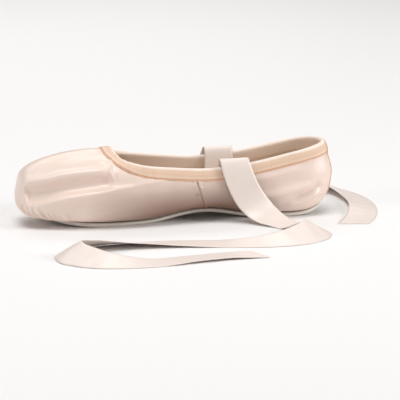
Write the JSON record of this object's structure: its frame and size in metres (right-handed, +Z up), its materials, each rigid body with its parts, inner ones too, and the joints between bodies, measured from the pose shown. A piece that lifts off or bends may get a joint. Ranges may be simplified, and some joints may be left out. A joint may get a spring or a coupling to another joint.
{
  "type": "demi-pointe shoe",
  "caption": "Soft satin demi-pointe ballet shoe with a flat-ended toe box, low taped topline, narrow leather sole and loose ribbon ties.",
  "frame": {"origin": "on the floor under the middle of the shoe, ribbons left out", "axes": "+X from heel to toe, +Y to the wearer's left, +Z up"},
  "size_m": [0.2794, 0.2786, 0.0551],
  "materials": {
    "sole_leather": "matt suede side out, pale edge",
    "satin": "pale pink satin with a soft sheen",
    "tape": "matt cotton tape",
    "strip": "half-matt tape",
    "sock": "matt cotton",
    "ribbon": "satin ribbon"
  },
  "bodies": {
    "root": {"outsole": "sole_leather", "upper": "satin", "binding": "tape", "heel_strip": "strip", "insole": "sock", "ribbon_left": "ribbon", "ribbon_right": "ribbon"}
  },
  "joints": []
}
